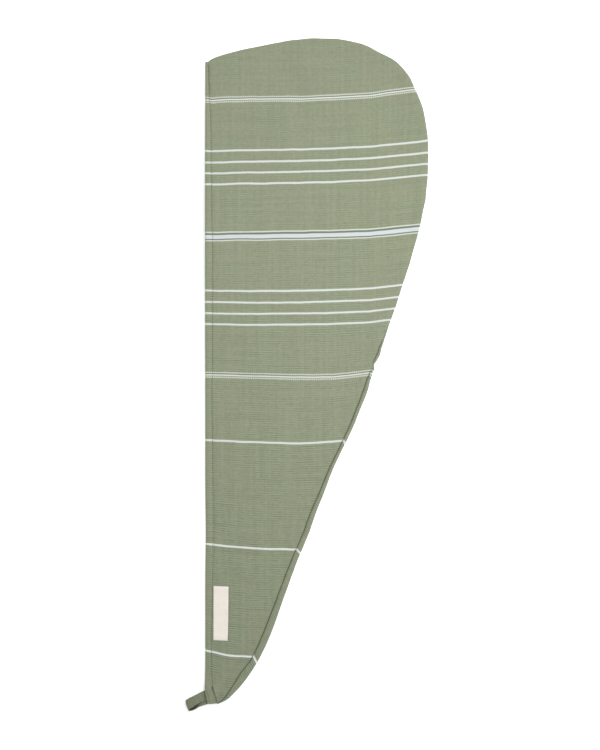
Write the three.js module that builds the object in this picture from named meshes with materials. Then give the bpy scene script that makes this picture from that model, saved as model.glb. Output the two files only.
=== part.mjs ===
// A hair towel lying flat: a long tapering hood of two flat-woven cotton panels. They are sewn
// together along the curved edge, and open and hemmed along the straight edge, where the head and
// the hair go in. The tail ends in a fabric loop, which fastens over a button under the nape.
// Units are millimetres. +X runs from the hem to the curved seam, +Y from the tail to the crown of
// the head, and +Z up. The towel lies on Z = 0, and the origin is the middle of its footprint.
import * as THREE from 'three';

// Cloth and make-up
const cloth = 1.2;                // one layer of the cotton
const gap = 0.3;                  // clearance between separate pieces
const hemThickness = 2.6;         // an edge turned under, two layers and the thread
const hemWidth = 8.4;             // from the straight edge to the row of hem stitches
const hemFoot = 9.8;              // past the stitches, where the cloth is one layer again
const hemNose = 1.0;              // rounding of the folded edge
const hemBevel = 0.25;            // the hem's top falls by this much to its stitches
const allowance = 7.0;            // width of the seam allowance turned inside
const allowanceStep = 1.2;        // slope from the doubled edge down to the single layer
const doubledEdge = 2 * cloth + gap;
const seamHeight = 2 * doubledEdge + gap;

// Button on the outside of the back panel, near the nape, and the rise of the cloth over it
const buttonX = 25;
const buttonY = 645;
const buttonRadius = 7.5;
const buttonThickness = 2.0;
const buttonDish = 0.5;           // depth of the dished face inside the rim
const buttonRim = 1.6;
const buttonBevel = 0.6;
const neckRadius = 2.2;
const neckHeight = 0.9;
const buttonSides = 20;
const riseFlat = 10;              // radius over which the cloth lies level on the button
const riseReach = 36;             // radius at which it is back on the surface below
const rise = buttonThickness + neckHeight + gap;

// Loop: a strip folded in two, its ends sewn in at the tip of the tail
const loopHalf = 5.3;             // half the width of the strip
const loopThickness = 1.5;
const loopBevel = 0.5;
const loopTip = new THREE.Vector2(2.6, 8.6);      // middle of the strip where it leaves the hem
const loopHeading = new THREE.Vector2(-0.914, -0.407);
const loopLowerZ = hemThickness + gap + loopThickness / 2;
const loopUpperZ = loopLowerZ + loopThickness + gap;
const loopStepsPerRow = 3;

// Label sewn along the hem stitches
const labelStart = 8.8;           // from the straight edge to its stitched side
const labelWidth = 16.3;
const labelNear = 66.9;           // its lower end, from the tip of the tail
const labelFar = 123.8;
const labelThickness = 1.0;
const labelTaper = 1.2;           // the free side leans in by this much towards the lower end
const labelClearance = 0.45;
const labelSteps = 8;

// How finely the panels are lofted
const stepsPerSection = 2;
const columns = 9;                // points across the single layer of each panel

// On short sections near the tip the hem and the seam zone shrink to these shares of the section
const hemShare = 0.3;
const seamShare = 0.35;

// Sections shorter than the first are cut straight across at the seam, and longer than the second
// square to it
const shortSection = 25;
const longSection = 60;

// The rolled edge is at its lowest for a rim up to the first width and full from the second
const flatRim = 1.2;
const fullRim = 4;
const leastRoll = 0.15;

// The back panel's edge, from the surface below up the outside: how far in, and how high
const outerEdge = tableOf(['inset', 'z'], [
  [3, 0],
  [1, 0.5],
  [0, 2.3],
]);

// Then over the rim: how far in, in mm or as a share of the rim, and how high as a share of the roll
const rolledEdge = tableOf(['inset', 'rimShare', 'rollShare'], [
  [0.15, 0, 0.5],
  [0, 0.25, 0.9],
  [0, 0.75, 1],
  [0, 0.95, 0.7],
]);

// The front panel's edge, from the seam over the top: how far in, and how far below the top
const frontEdge = tableOf(['inset', 'below'], [
  [0.05, 1.5],
  [0.9, 0.45],
  [2.6, 0],
]);

// Sections from the tip of the tail to the corner at the nape. A section crosses the towel from a
// point on the hem to a point on the curved edge. rim is how far the back panel rolls over the edge
// before it meets the front one, lift how far the opening gapes, crown how far the front bows up.
const sections = tableOf(['hemX', 'hemY', 'edgeX', 'edgeY', 'rim', 'lift', 'crown'], [
  [2.6, 0.7, 15.0, 0.2, 6.7, 3.6, 0.2],
  [1.6, 4.2, 23.5, 4.4, 9.7, 3.6, 0.0],
  [0.5, 9.6, 31.0, 11.6, 10.3, 3.6, 0.3],
  [-0.2, 16.0, 38.0, 19.3, 8.3, 3.8, 0.6],
  [0.0, 28.0, 46.8, 31.0, 6.5, 2.0, 1.2],
  [0.0, 46.0, 57.0, 47.5, 6.6, 0.4, 1.7],
  [0.0, 70.0, 68.0, 70.5, 7.8, 0.0, 2.1],
  [0.0, 100.0, 78.8, 100.5, 8.4, 0.0, 2.4],
  [0.0, 136.0, 91.5, 136.0, 7.8, 0.2, 2.8],
  [0.0, 174.0, 106.8, 174.0, 6.0, 0.4, 3.2],
  [0.0, 212.0, 121.1, 212.0, 5.6, 0.5, 3.6],
  [0.0, 250.0, 136.0, 250.0, 4.6, 0.6, 4.0],
  [0.0, 286.0, 153.2, 286.0, 3.6, 0.7, 4.3],
  [0.0, 318.0, 166.4, 318.0, 3.4, 0.9, 4.6],
  [0.0, 342.0, 173.8, 342.0, 2.6, 1.4, 4.8],
  [0.0, 354.0, 177.2, 354.0, 1.2, 1.8, 4.9],
  [0.0, 365.0, 182.2, 365.0, 2.4, 2.2, 5.0],
  [0.0, 392.0, 191.3, 392.0, 1.5, 3.4, 5.2],
  [0.0, 430.0, 204.2, 430.0, 1.2, 4.8, 5.4],
  [0.0, 470.0, 217.0, 470.0, 1.2, 6.0, 5.6],
  [0.0, 508.0, 227.2, 510.0, 1.2, 6.6, 5.8],
  [0.0, 542.0, 233.2, 548.0, 1.2, 6.2, 5.8],
  [0.0, 570.0, 234.3, 582.0, 1.2, 5.0, 5.6],
  [0.0, 592.0, 231.2, 613.0, 1.2, 3.6, 5.2],
  [0.0, 609.0, 221.6, 643.5, 1.2, 2.6, 4.6],
  [0.0, 622.0, 204.0, 671.0, 1.2, 2.0, 4.0],
  [0.0, 632.0, 178.0, 686.2, 1.2, 1.6, 3.4],
  [0.0, 641.0, 148.0, 696.6, 1.2, 1.2, 2.8],
  [0.0, 648.5, 118.0, 698.6, 1.2, 1.0, 2.2],
  [0.0, 655.0, 89.0, 696.2, 1.2, 0.7, 1.7],
  [0.0, 660.5, 61.0, 691.1, 1.2, 0.5, 1.2],
  [0.0, 665.5, 35.0, 685.8, 1.2, 0.3, 0.7],
  [0.0, 669.5, 15.0, 680.3, 1.2, 0.1, 0.3],
  [0.0, 672.2, 5.4, 675.9, 1.2, 0.0, 0.2],
]);

// Main dents and folds of the front panel: where each is centred, its half length and half width,
// the turn of its length from +X in degrees, and how deep it is. A ridge has a depth below zero.
const dents = tableOf(['x', 'y', 'length', 'width', 'turn', 'depth'], [
  [80, 664, 26, 12, -48, 1.5],
  [142, 680, 20, 9, -20, 1.1],
  [191, 656, 18, 10, -40, 1.5],
  [213, 616, 20, 9, -72, 1.3],
  [10, 655, 20, 6, 88, 1.2],
  [112, 660, 24, 14, -70, -0.8],
  [27, 328, 34, 11, 24, 1.8],
  [60, 352, 40, 12, 10, -0.9],
  [132, 322, 46, 8, 66, -0.9],
  [34, 158, 26, 8, -6, 1.3],
  [22, 140, 24, 9, -32, 1.5],
  [60, 225, 40, 20, 20, 0.9],
  [120, 500, 70, 22, 6, 0.9],
  [60, 560, 50, 20, 70, 0.8],
]);

function tableOf(columns, rows) {
  return rows.map((row) => Object.fromEntries(row.map((value, i) => [columns[i], value])));
}

const mix = THREE.MathUtils.lerp;
const smooth = THREE.MathUtils.smoothstep;

// A section between the rows of the table, by a curve through them (Catmull-Rom)
function sectionAt(place) {
  const row = Math.min(Math.floor(place), sections.length - 2);
  const t = place - row;
  const [a, b, c, d] = [row - 1, row, row + 1, row + 2].map(
    (i) => sections[THREE.MathUtils.clamp(i, 0, sections.length - 1)],
  );
  const through = (key) => 0.5 * (2 * b[key] + (c[key] - a[key]) * t
    + (2 * a[key] - 5 * b[key] + 4 * c[key] - d[key]) * t ** 2
    + (3 * b[key] - a[key] - 3 * c[key] + d[key]) * t ** 3);
  return Object.fromEntries(Object.keys(b).map((key) => [key, through(key)]));
}

// The frame of one section: points at a distance from the hem, from the curved edge, and between
function stationAt(place) {
  const section = sectionAt(place);
  const step = 0.02;
  const before = sectionAt(Math.max(place - step, 0));
  const after = sectionAt(Math.min(place + step, sections.length - 1));
  const hem = new THREE.Vector2(section.hemX, section.hemY);
  const edge = new THREE.Vector2(section.edgeX, section.edgeY);
  const across = edge.clone().sub(hem);
  const span = across.length();
  across.normalize();
  const along = new THREE.Vector2(after.edgeX - before.edgeX, after.edgeY - before.edgeY).normalize();
  const square = new THREE.Vector2(-along.y, along.x);
  const squared = smooth(span, shortSection, longSection);
  const inward = across.clone().negate().lerp(square, squared).normalize();
  const seamZone = section.rim + allowance + 2 * allowanceStep;
  const hemScale = Math.min(1 / across.x, hemShare * span / hemWidth);
  const edgeScale = Math.min(1, seamShare * span / seamZone);
  const fromHem = (distance) => hem.clone().addScaledVector(across, distance * hemScale);
  const fromEdge = (distance) => edge.clone().addScaledVector(inward, distance * edgeScale);
  const fieldStart = fromHem(hemFoot);
  const fieldEnd = fromEdge(seamZone);
  const between = (share) => fieldStart.clone().lerp(fieldEnd, share);
  return { ...section, fromHem, fromEdge, between, fieldStart, fieldEnd };
}

function dentsAt(point) {
  return dents.reduce((sum, dent) => {
    const turn = THREE.MathUtils.degToRad(dent.turn);
    const dx = point.x - dent.x;
    const dy = point.y - dent.y;
    const along = (dx * Math.cos(turn) + dy * Math.sin(turn)) / dent.length;
    const aside = (dy * Math.cos(turn) - dx * Math.sin(turn)) / dent.width;
    return sum + dent.depth * Math.exp(-(along ** 2 + aside ** 2));
  }, 0);
}

function buttonRise(point) {
  const away = Math.hypot(point.x - buttonX, point.y - buttonY);
  return rise * (1 - smooth(away, riseFlat, riseReach));
}

// Height of the front hem's underside at a distance in from the straight edge. It clears the back
// hem by the gap, and by the lift of the opening or the rise over the button, whichever is more.
function frontHemUnder(station, distance) {
  const risen = distance > hemNose ? buttonRise(station.fromHem(distance)) : 0;
  return hemThickness + gap + Math.hypot(station.lift, risen);
}

// Height of the front panel's outer face at a share of the way from the hem to the seam
function frontHeight(station, share) {
  const point = station.between(share);
  const bow = Math.sin(Math.PI * share);
  const hemTop = 2 * hemThickness + gap + station.lift;
  const level = mix(hemTop, seamHeight, share) + station.crown * bow;
  const room = level - dentsAt(point) * Math.min(1, 2 * bow) - doubledEdge;
  return doubledEdge + Math.hypot(room, buttonRise(point));
}

const shares = Array.from({ length: columns }, (_, i) => (i + 0.5) / columns);
const at = (point, z) => ({ x: point.x, y: point.y, z });

// The back panel's section: along the surface it lies on, up round the edge, over by the rim, then
// back inside as the seam allowance, the inner face and the turned hem
function backRing(station) {
  const { rim, fromHem, fromEdge, between } = station;
  const roll = mix(leastRoll, 1, smooth(rim, flatRim, fullRim));
  const field = shares.map(between);
  const foot = fromHem(hemFoot);
  return [
    at(fromHem(0), hemThickness / 2),
    at(fromHem(hemNose), 0),
    at(foot, buttonRise(foot)),
    ...field.map((point) => at(point, buttonRise(point))),
    at(fromEdge(rim + allowance), 0),
    ...outerEdge.map(({ inset, z }) => at(fromEdge(inset), z)),
    ...rolledEdge.map(({ inset, rimShare, rollShare }) => (
      at(fromEdge(inset + rimShare * rim), mix(doubledEdge, seamHeight, rollShare * roll))
    )),
    at(fromEdge(rim), doubledEdge),
    at(fromEdge(rim + allowance), doubledEdge),
    at(fromEdge(rim + allowance + allowanceStep), cloth),
    ...field.map((point) => at(point, buttonRise(point) + cloth)).reverse(),
    at(foot, cloth + buttonRise(foot)),
    at(fromHem(hemWidth), hemThickness + buttonRise(fromHem(hemWidth))),
    at(fromHem(hemNose), hemThickness),
  ];
}

// The front panel's section: its underside from the hem to the seam, up the seam, and back over
function frontRing(station) {
  const { rim, fromHem, fromEdge, between } = station;
  const under = (distance) => frontHemUnder(station, distance);
  const seam = rim + gap;
  const outer = shares.map((share) => at(between(share), frontHeight(station, share)));
  return [
    at(fromHem(0), under(0) + hemThickness / 2),
    at(fromHem(hemNose), under(0)),
    at(fromHem(hemWidth), under(hemWidth)),
    at(fromHem(hemFoot), frontHeight(station, 0) - cloth),
    ...outer.map(({ x, y, z }) => ({ x, y, z: z - cloth })),
    at(fromEdge(seam + allowance + allowanceStep), seamHeight - cloth),
    at(fromEdge(seam + allowance), seamHeight - doubledEdge),
    at(fromEdge(seam), seamHeight - doubledEdge),
    ...frontEdge.map(({ inset, below }) => at(fromEdge(seam + inset), seamHeight - below)),
    at(fromEdge(seam + allowance + allowanceStep), seamHeight),
    ...outer.reverse(),
    at(fromHem(hemWidth), under(hemWidth) + hemThickness - hemBevel),
    at(fromHem(hemNose), under(0) + hemThickness),
  ];
}

// A closed body through rings that all have the same number of points
function loft(rings) {
  const count = rings[0].length;
  const positions = rings.flat().flatMap(({ x, y, z }) => [x, y, z]);
  const triangles = [];
  for (let ring = 0; ring < rings.length - 1; ring += 1) {
    for (let i = 0; i < count; i += 1) {
      const a = ring * count + i;
      const b = ring * count + (i + 1) % count;
      triangles.push([a, b + count, b], [a, a + count, b + count]);
    }
  }
  const lastStart = (rings.length - 1) * count;
  capOf(rings[0]).forEach(([a, b, c]) => triangles.push([a, b, c]));
  capOf(rings.at(-1)).forEach(([a, b, c]) => triangles.push([a, c, b].map((i) => i + lastStart)));
  const geometry = new THREE.BufferGeometry();
  geometry.setAttribute('position', new THREE.Float32BufferAttribute(positions, 3));
  geometry.setIndex(triangles.flat());
  geometry.computeVertexNormals();
  return geometry;
}

// Triangles that fill a ring, wound as the ring is. The end rings stand upright, so that a point's
// distance along the ring's own line and its height place it in the plane of the ring.
function capOf(ring) {
  const far = ring.reduce((a, b) => (b.x > a.x ? b : a));
  const near = ring.reduce((a, b) => (b.x < a.x ? b : a));
  const line = new THREE.Vector2(far.x - near.x, far.y - near.y).normalize();
  const flat = ring.map(({ x, y, z }) => new THREE.Vector2(x * line.x + y * line.y, z));
  const faces = THREE.ShapeUtils.triangulateShape(flat, []);
  const facing = faces.reduce((sum, face) => sum + THREE.ShapeUtils.area(face.map((i) => flat[i])), 0);
  const turned = facing * THREE.ShapeUtils.area(flat) < 0;
  return faces.map((face) => (turned ? [...face].reverse() : face));
}

function panelGeometry(ringOf) {
  const steps = (sections.length - 1) * stepsPerSection;
  const places = Array.from({ length: steps + 1 }, (_, i) => i / stepsPerSection);
  return loft(places.map((place) => ringOf(stationAt(place))));
}

// The two edges of the loop's strip, from the hem round and back: how far out of the hem, how far
// aside, and how high, then how far the strip bows out between them. The lower run curls up almost
// on its edge beside the upper one, so that the eye shows as a dark slot between them.
const loopRows = tableOf(['hoodOut', 'hoodAside', 'hoodZ', 'tipOut', 'tipAside', 'tipZ', 'bow'], [
  [-4.5, -3.2, loopLowerZ, -4.5, 6.8, loopLowerZ, 0],
  [-2, -2.9, loopLowerZ, -2, 7.4, loopLowerZ, 0],
  [1, -2.0, 3.3, 1, 8.2, 3.9, 0.2],
  [4.2, -0.6, 2.4, 4.0, 7.9, 6.0, 0.6],
  [8.3, 1.0, 1.3, 8.3, 7.0, 8.4, 1.1],
  [12.5, 1.8, 0.9, 12.5, 6.4, 9.4, 1.4],
  [16.8, 1.8, 0.9, 16.8, 7.0, 9.5, 1.4],
  [20.4, 0.4, 1.3, 20.4, 7.3, 8.4, 1.0],
  [22.6, -3.0, 4.4, 22.4, 6.5, 7.6, 0.3],
  [22.0, -5.5, 8.4, 22.0, 4.9, 8.7, 0.1],
  [19.0, -6.3, 10.0, 19.2, 4.4, 9.6, 0.1],
  [14, -6.5, 9.9, 14, 3.5, 9.3, 0.1],
  [9.5, -6.6, 9.2, 9.5, 3.0, 8.6, 0.1],
  [5.8, -6.7, 8.0, 6.6, 3.5, 7.8, 0],
  [3.7, -6.6, 7.0, 4.9, 3.9, 6.8, 0],
  [1.6, -6.3, loopUpperZ, 2.9, 4.1, loopUpperZ, 0],
  [-3, -5.8, loopUpperZ, -3, 4.7, loopUpperZ, 0],
  [-7, -loopHalf, loopUpperZ, -7, loopHalf, loopUpperZ, 0],
]);

function loopGeometry() {
  const sideways = new THREE.Vector2(-loopHeading.y, loopHeading.x);
  const edgeOf = (side) => new THREE.CatmullRomCurve3(loopRows.map((row) => {
    const foot = loopTip.clone().addScaledVector(loopHeading, row[side + 'Out'])
      .addScaledVector(sideways, row[side + 'Aside']);
    return new THREE.Vector3(foot.x, foot.y, row[side + 'Z']);
  }), false, 'centripetal');
  const hoodEdge = edgeOf('hood');
  const tipEdge = edgeOf('tip');
  const steps = (loopRows.length - 1) * loopStepsPerRow;
  const thick = loopThickness / 2;
  return loft(Array.from({ length: steps + 1 }, (_, i) => {
    const from = hoodEdge.getPoint(i / steps);
    const to = tipEdge.getPoint(i / steps);
    const forward = hoodEdge.getTangent(i / steps).add(tipEdge.getTangent(i / steps));
    const across = to.clone().sub(from);
    const bevel = loopBevel / across.length();
    const outward = across.clone().cross(forward).normalize();
    const row = Math.min(Math.floor(i / loopStepsPerRow), loopRows.length - 2);
    const bow = mix(loopRows[row].bow, loopRows[row + 1].bow, i / loopStepsPerRow - row);
    const middle = from.clone().lerp(to, 0.5);
    return [
      from,
      from.clone().lerp(to, bevel).addScaledVector(outward, -thick),
      middle.clone().addScaledVector(outward, bow - thick),
      to.clone().lerp(from, bevel).addScaledVector(outward, -thick),
      to,
      to.clone().lerp(from, bevel).addScaledVector(outward, thick),
      middle.clone().addScaledVector(outward, bow + thick),
      from.clone().lerp(to, bevel).addScaledVector(outward, thick),
    ];
  }));
}

// The place in the table of sections where the single layer starts at this distance from the tip
function placeOf(y) {
  let low = 0;
  let high = sections.length - 1;
  const halvings = 40;
  for (let i = 0; i < halvings; i += 1) {
    const middle = (low + high) / 2;
    if (stationAt(middle).fieldStart.y < y) low = middle;
    else high = middle;
  }
  return low;
}

function labelGeometry() {
  const places = [0, 0.5, 1];
  const rings = Array.from({ length: labelSteps + 1 }, (_, i) => {
    const share = i / labelSteps;
    const y = mix(labelNear, labelFar, share);
    const station = stationAt(placeOf(y));
    const width = labelWidth - labelTaper * (1 - share);
    const fieldWidth = station.fieldEnd.x - station.fieldStart.x;
    const under = places.map((place) => {
      const x = labelStart + width * place;
      const inField = THREE.MathUtils.clamp((x - station.fieldStart.x) / fieldWidth, 0, 1);
      return { x, y, z: frontHeight(station, inField) + labelClearance };
    });
    const over = under.map(({ x, z }) => ({ x, y, z: z + labelThickness }));
    return [...under, ...over.reverse()];
  });
  return loft(rings);
}

// Half section of the button, turned about its axis: a dished face below, a neck on top
function buttonGeometry() {
  const top = buttonThickness + neckHeight;
  const profile = [
    [0, buttonDish],
    [buttonRadius - buttonRim - buttonBevel, buttonDish],
    [buttonRadius - buttonRim, 0],
    [buttonRadius - buttonBevel, 0],
    [buttonRadius, buttonBevel],
    [buttonRadius, buttonThickness - buttonBevel],
    [buttonRadius - buttonBevel, buttonThickness],
    [neckRadius, buttonThickness],
    [neckRadius, top],
    [0, top],
  ].map(([radius, z]) => new THREE.Vector2(radius, z));
  const geometry = new THREE.LatheGeometry(profile, buttonSides);
  geometry.rotateX(Math.PI / 2);
  geometry.translate(buttonX, buttonY, 0);
  return geometry;
}

const sageCotton = { color: 0x929a80, roughness: 0.95, metalness: 0 };
const creamTape = { color: 0xe6dccb, roughness: 0.9, metalness: 0 };
const sagePlastic = { color: 0x7c8769, roughness: 0.45, metalness: 0 };

function piece(name, geometry, finish) {
  const mesh = new THREE.Mesh(geometry, new THREE.MeshStandardMaterial(finish));
  mesh.name = name;
  return mesh;
}

const towel = new THREE.Group();
towel.add(
  piece('back_panel', panelGeometry(backRing), sageCotton),
  piece('front_panel', panelGeometry(frontRing), sageCotton),
  piece('tail_loop', loopGeometry(), sageCotton),
  piece('label', labelGeometry(), creamTape),
  piece('nape_button', buttonGeometry(), sagePlastic),
);

// The origin goes to the middle of the footprint, on the surface below
const middle = new THREE.Box3().setFromObject(towel).getCenter(new THREE.Vector3());
towel.position.set(-middle.x, -middle.y, 0);

export default towel;
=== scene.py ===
# Striped cotton hair towel lying flat: two flat-woven panels seamed along the curved edge, hemmed
# and open along the straight edge, with a loop at the tail, a bare label and a button under the nape.
# The pattern is in millimetres: x from the straight hem to the seam, y from the tip to the crown.
import bmesh
import bpy
import math
import numpy as np
from mathutils import Matrix, Vector
from mathutils.bvhtree import BVHTree


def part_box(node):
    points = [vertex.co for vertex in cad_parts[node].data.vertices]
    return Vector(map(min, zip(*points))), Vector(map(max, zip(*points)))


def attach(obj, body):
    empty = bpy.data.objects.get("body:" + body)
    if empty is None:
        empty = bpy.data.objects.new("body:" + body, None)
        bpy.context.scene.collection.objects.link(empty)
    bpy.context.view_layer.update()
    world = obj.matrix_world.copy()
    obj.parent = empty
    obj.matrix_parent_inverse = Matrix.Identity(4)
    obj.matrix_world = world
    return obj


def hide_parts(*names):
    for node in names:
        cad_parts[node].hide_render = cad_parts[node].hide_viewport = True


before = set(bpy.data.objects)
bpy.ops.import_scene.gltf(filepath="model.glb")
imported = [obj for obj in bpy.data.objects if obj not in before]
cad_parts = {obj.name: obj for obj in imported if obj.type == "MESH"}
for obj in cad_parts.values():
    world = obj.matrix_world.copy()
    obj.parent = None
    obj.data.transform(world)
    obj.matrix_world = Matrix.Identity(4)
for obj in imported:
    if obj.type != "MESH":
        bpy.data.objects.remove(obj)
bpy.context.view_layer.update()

# the towel's pattern, the same numbers as the solids
towel = {
    "cloth": 1.2,            # one layer
    "gap": 0.3,
    "hemThickness": 2.6,     # turned under, with the thread
    "hemWidth": 8.4,
    "hemNose": 1.0,
    "hemStep": 1.4,          # from the full hem down to one layer
    "allowance": 7.0,        # seam allowance turned inside
    "allowanceStep": 1.2,
    "buttonSpot": (25.0, 645.0),
    "buttonRise": 3.2,       # the back panel is lifted this much where it lies on the button
    "riseFlat": 10.0,
    "riseReach": 36.0,
}
doubledEdge = 2 * towel["cloth"] + towel["gap"]
seamHeight = 2 * doubledEdge + towel["gap"]
hemZone = towel["hemWidth"] + towel["hemStep"]
allowanceZone = towel["allowance"] + 2 * towel["allowanceStep"]
farOff = 60     # out of reach of the hem's or the seam's puckers

# from the tip to the nape corner: a point on the hem, a point on the curved edge, how far the back
# rolls over the edge, how far the opening gapes, how far the front bows up
sections = np.array([
    # hemX, hemY, edgeX, edgeY, rim, lift, crown
    [2.6, 0.7, 15.0, 0.2, 6.7, 3.6, 0.2],
    [1.6, 4.2, 23.5, 4.4, 9.7, 3.6, 0.0],
    [0.5, 9.6, 31.0, 11.6, 10.3, 3.6, 0.3],
    [-0.2, 16.0, 38.0, 19.3, 8.3, 3.8, 0.6],
    [0.0, 28.0, 46.8, 31.0, 6.5, 2.0, 1.2],
    [0.0, 46.0, 57.0, 47.5, 6.6, 0.4, 1.7],
    [0.0, 70.0, 68.0, 70.5, 7.8, 0.0, 2.1],
    [0.0, 100.0, 78.8, 100.5, 8.4, 0.0, 2.4],
    [0.0, 136.0, 91.5, 136.0, 7.8, 0.2, 2.8],
    [0.0, 174.0, 106.8, 174.0, 6.0, 0.4, 3.2],
    [0.0, 212.0, 121.1, 212.0, 5.6, 0.5, 3.6],
    [0.0, 250.0, 136.0, 250.0, 4.6, 0.6, 4.0],
    [0.0, 286.0, 153.2, 286.0, 3.6, 0.7, 4.3],
    [0.0, 318.0, 166.4, 318.0, 3.4, 0.9, 4.6],
    [0.0, 342.0, 173.8, 342.0, 2.6, 1.4, 4.8],
    [0.0, 354.0, 177.2, 354.0, 1.2, 1.8, 4.9],
    [0.0, 365.0, 182.2, 365.0, 2.4, 2.2, 5.0],
    [0.0, 392.0, 191.3, 392.0, 1.5, 3.4, 5.2],
    [0.0, 430.0, 204.2, 430.0, 1.2, 4.8, 5.4],
    [0.0, 470.0, 217.0, 470.0, 1.2, 6.0, 5.6],
    [0.0, 508.0, 227.2, 510.0, 1.2, 6.6, 5.8],
    [0.0, 542.0, 233.2, 548.0, 1.2, 6.2, 5.8],
    [0.0, 570.0, 234.3, 582.0, 1.2, 5.0, 5.6],
    [0.0, 592.0, 231.2, 613.0, 1.2, 3.6, 5.2],
    [0.0, 609.0, 221.6, 643.5, 1.2, 2.6, 4.6],
    [0.0, 622.0, 204.0, 671.0, 1.2, 2.0, 4.0],
    [0.0, 632.0, 178.0, 686.2, 1.2, 1.6, 3.4],
    [0.0, 641.0, 148.0, 696.6, 1.2, 1.2, 2.8],
    [0.0, 648.5, 118.0, 698.6, 1.2, 1.0, 2.2],
    [0.0, 655.0, 89.0, 696.2, 1.2, 0.7, 1.7],
    [0.0, 660.5, 61.0, 691.1, 1.2, 0.5, 1.2],
    [0.0, 665.5, 35.0, 685.8, 1.2, 0.3, 0.7],
    [0.0, 669.5, 15.0, 680.3, 1.2, 0.1, 0.3],
    [0.0, 672.2, 5.4, 675.9, 1.2, 0.0, 0.2],
])

# dents and ridges of the front: x, y, half length, half width, turn from +x, depth
dents = [
    (80, 664, 26, 12, -48, 1.5),
    (142, 680, 20, 9, -20, 1.1),
    (191, 656, 18, 10, -40, 1.5),
    (213, 616, 20, 9, -72, 1.3),
    (10, 655, 20, 6, 88, 1.2),
    (112, 660, 24, 14, -70, -0.8),
    (27, 328, 34, 11, 24, 1.8),
    (60, 352, 40, 12, 10, -0.9),
    (132, 322, 46, 8, 66, -0.9),
    (34, 158, 26, 8, -6, 1.3),
    (22, 140, 24, 9, -32, 1.5),
    (60, 225, 40, 20, 20, 0.9),
    (120, 500, 70, 22, 6, 0.9),
    (60, 560, 50, 20, 70, 0.8),
]

# sharp little creases pressed into the front: points along each, width, and depth (or rise, below 0)
tipCrease = [(7.7, 17.5), (9.4, 12.1), (10.8, 7.4), (12.0, 2.6)]     # the stitches run off along it
creases = [
    (tipCrease, 0.75, 3.1),
    # the cloth puffs up beside them
    ([(8.0, 16.5), (9.4, 12.1), (10.8, 7.4), (11.7, 3.6)], 2.3, -0.9),
    # the loop pulls the hem
    ([(1.5, 13.8), (3.2, 9.1), (5.0, 1.0)], 0.65, 1.1),
    # the hem's upper end
    ([(3.0, 674.0), (4.8, 640.0)], 0.9, 0.7),
    # the turned edge shows through below the waist
    ([(131.0, 292.6), (137.5, 340.0)], 2.5, 0.35),
]

# where the curved edge stands out a little further than the sections: x, y, reach, how far
edgeBulges = [
    (168, 691, 12, 1.3),
    (214, 657, 8, 0.8),
    (231, 526, 10, 0.8),
    (171, 327, 10, 0.7),
    # the seam has a small step at the waist
    (176, 351, 2.2, 1.8),
    (174.2, 344.2, 2.4, 0.8),
    (178.5, 356.5, 2.4, -0.7),
    (183, 366.5, 4, 0.8),
]

# the smaller ways in which the sewn edges stray from the sections, in mm
straying = {
    "roll": 0.35,                                    # the rolled seam stands out all the way
    "puckers": [(0.3, 15, 61), (0.16, 6.5, 62)],     # height, size and seed
    "hemBow": (0.6, 180, 30),                        # the hem stands in by the label: how far, y, reach
    "hemInset": 0.25,                                # and a little all along, from above the tip
    "tipEnds": (16, 46),
}

# near the tip the panels are narrow: the widths over which these come in, and shares of the width
narrow = {
    "squareSeam": (25, 60),      # the seam allowance lies square to the edge
    "roll": (12, 40),
    "puckers": (40, 90),
    "hemShare": 0.3,
    "seamShare": 0.4,
}

# how much further in the seam runs than the sections say: y and mm
seamDrift = np.array([(9, 2.6), (30, 2.4), (41, 0.9), (62, 0.3), (72, -0.1), (83, -0.4), (104, -1.6),
                      (125, -1.5), (146, -1.2), (167, -0.4), (188, 0.1), (209, -0.5), (240, -0.8),
                      (261, -0.8), (277, 0.1), (293, 0.6), (314, 0.6), (326, 1.4), (345, 0.9),
                      (366, 0.7), (380, 0.4), (395, 0.0)])

buttonLow, buttonHigh = (np.array(corner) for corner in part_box("nape_button"))
patternOrigin = (buttonLow + buttonHigh)[:2] / 2 - np.array(towel["buttonSpot"]) / 1000


def toScene(points):
    # pattern millimetres to scene metres
    placed = np.array(points, float) / 1000
    placed[..., :2] += patternOrigin
    return placed


def smoothStep(value, low, high):
    t = np.clip((value - low) / (high - low), 0, 1)
    return t * t * (3 - 2 * t)


def mixed(a, b, share):
    return a + (b - a) * share


def bell(value, reach):
    return np.exp(-(value / reach) ** 2)


def unit(vectors):
    return vectors / np.linalg.norm(vectors, axis=-1, keepdims=True)


def softNoise(x, y, size, seed):
    # smooth random height from -1 to 1, a new bump every size mm
    table = np.random.default_rng(seed).uniform(-1, 1, (64, 64))
    gx, gy = np.asarray(x) / size + 200, np.asarray(y) / size + 200
    ix, iy = np.floor(gx).astype(int), np.floor(gy).astype(int)
    fx, fy = smoothStep(gx - ix, 0, 1), smoothStep(gy - iy, 0, 1)
    corner = lambda i, j: table[(ix + i) % 64, (iy + j) % 64]
    low = mixed(corner(0, 0), corner(1, 0), fx)
    high = mixed(corner(0, 1), corner(1, 1), fx)
    return mixed(low, high, fy)


def sectionsAt(places):
    row = np.minimum(np.floor(places).astype(int), len(sections) - 2)
    t = (places - row)[:, None]
    a, b, c, d = (sections[np.clip(row + i, 0, len(sections) - 1)] for i in (-1, 0, 1, 2))
    return 0.5 * (2 * b + (c - a) * t + (2 * a - 5 * b + 4 * c - d) * t ** 2
                  + (3 * b - a - 3 * c + d) * t ** 3)


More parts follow.
